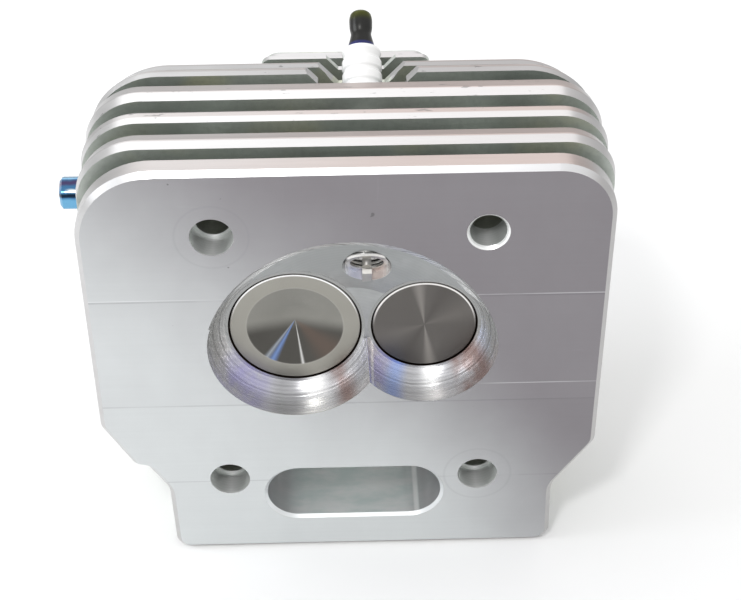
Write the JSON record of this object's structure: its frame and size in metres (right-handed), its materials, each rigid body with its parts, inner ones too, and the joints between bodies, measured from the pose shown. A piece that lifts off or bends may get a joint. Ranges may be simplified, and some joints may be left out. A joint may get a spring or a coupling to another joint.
{
  "type": "cylinder head",
  "caption": "Air-cooled overhead-valve cylinder head with valves, springs, rockers, spark plug, cooling fins and a milled two-lobe combustion chamber.",
  "frame": {"origin": "where the cylinder axis meets the gasket face, at the centre of the four head-bolt holes", "axes": "+X towards the exhaust side, +Y from the gasket face towards the rocker gear, +Z towards the spark plug; the head stands on its pushrod side"},
  "size_m": [0.1654, 0.1032, 0.1559],
  "materials": {
    "head_aluminium": "machined joint face, cast fins",
    "seat_iron": "turned",
    "guide_bronze": "turned bronze",
    "seal_rubber": "moulded",
    "intake_valve_steel": "turned and polished",
    "exhaust_valve_steel": "turned heat-resisting steel",
    "spring_seat_steel": "pressed",
    "spring_steel": "shot-peened, oiled",
    "retainer_steel": "turned",
    "keeper_steel": "ground",
    "rocker_steel": "pressed and hardened",
    "pivot_steel": "ground ball",
    "nut_steel": "black oxide",
    "stud_steel": "oiled steel",
    "plate_steel": "pressed sheet",
    "blue_zinc": "blue-passivated zinc plate",
    "stud_zinc": "zinc plate",
    "plug_nickel": "nickel plate",
    "plug_ceramic": "glazed white",
    "plug_terminal_steel": "dark plated",
    "electrode_nickel": "nickel alloy",
    "gasket_steel": "folded ring"
  },
  "bodies": {
    "head": {"head_casting": "head_aluminium", "intake_valve_seat": "seat_iron", "exhaust_valve_seat": "seat_iron", "intake_valve_guide": "guide_bronze", "exhaust_valve_guide": "guide_bronze", "intake_stem_seal": "seal_rubber", "intake_spring_seat": "spring_seat_steel", "exhaust_spring_seat": "spring_seat_steel", "intake_spring": "spring_steel", "exhaust_spring": "spring_steel", "intake_rocker_pivot": "pivot_steel", "exhaust_rocker_pivot": "pivot_steel", "intake_lock_nut": "nut_steel", "exhaust_lock_nut": "nut_steel", "intake_rocker_stud": "stud_steel", "exhaust_rocker_stud": "stud_steel", "pushrod_guide_plate": "plate_steel", "shroud_bolt": "blue_zinc", "exhaust_studs": "stud_zinc", "plug_shell": "plug_nickel", "plug_insulator": "plug_ceramic", "plug_terminal": "plug_terminal_steel", "plug_centre_electrode": "electrode_nickel", "plug_ground_electrode": "electrode_nickel", "plug_gasket": "gasket_steel"},
    "intake_valve_group": {"intake_valve": "intake_valve_steel", "intake_retainer": "retainer_steel", "intake_keepers": "keeper_steel"},
    "exhaust_valve_group": {"exhaust_valve": "exhaust_valve_steel", "exhaust_retainer": "retainer_steel", "exhaust_keepers": "keeper_steel", "exhaust_lash_cap": "keeper_steel"},
    "intake_rocker": {"intake_rocker_arm": "rocker_steel"},
    "exhaust_rocker": {"exhaust_rocker_arm": "rocker_steel"}
  },
  "joints": [
    {"name": "intake_valve_lift", "type": "slide", "parent": "head", "child": "intake_valve_group", "axis": [0, -1, 0], "range_m": [0, 0.008], "stiffness_N_per_m": 6000, "springref_m": -0.004, "deforming": ["intake_spring"]},
    {"name": "intake_rocker_turn", "type": "hinge", "parent": "head", "child": "intake_rocker", "pos_m": [-0.0168, 0.0922, -0.024], "axis": [1, 0, 0], "range_deg": [0, 15.5]},
    {"name": "exhaust_valve_lift", "type": "slide", "parent": "head", "child": "exhaust_valve_group", "axis": [0, -1, 0], "range_m": [0, 0.008], "stiffness_N_per_m": 6000, "springref_m": -0.004, "deforming": ["exhaust_spring"]},
    {"name": "exhaust_rocker_turn", "type": "hinge", "parent": "head", "child": "exhaust_rocker", "pos_m": [0.0218, 0.0922, -0.024], "axis": [1, 0, 0], "range_deg": [0, 15.5]}
  ],
  "couplings": [
    {"joint": "intake_rocker_turn", "follows": "intake_valve_lift", "rad_per_m": 33.7},
    {"joint": "exhaust_rocker_turn", "follows": "exhaust_valve_lift", "rad_per_m": 33.7}
  ]
}
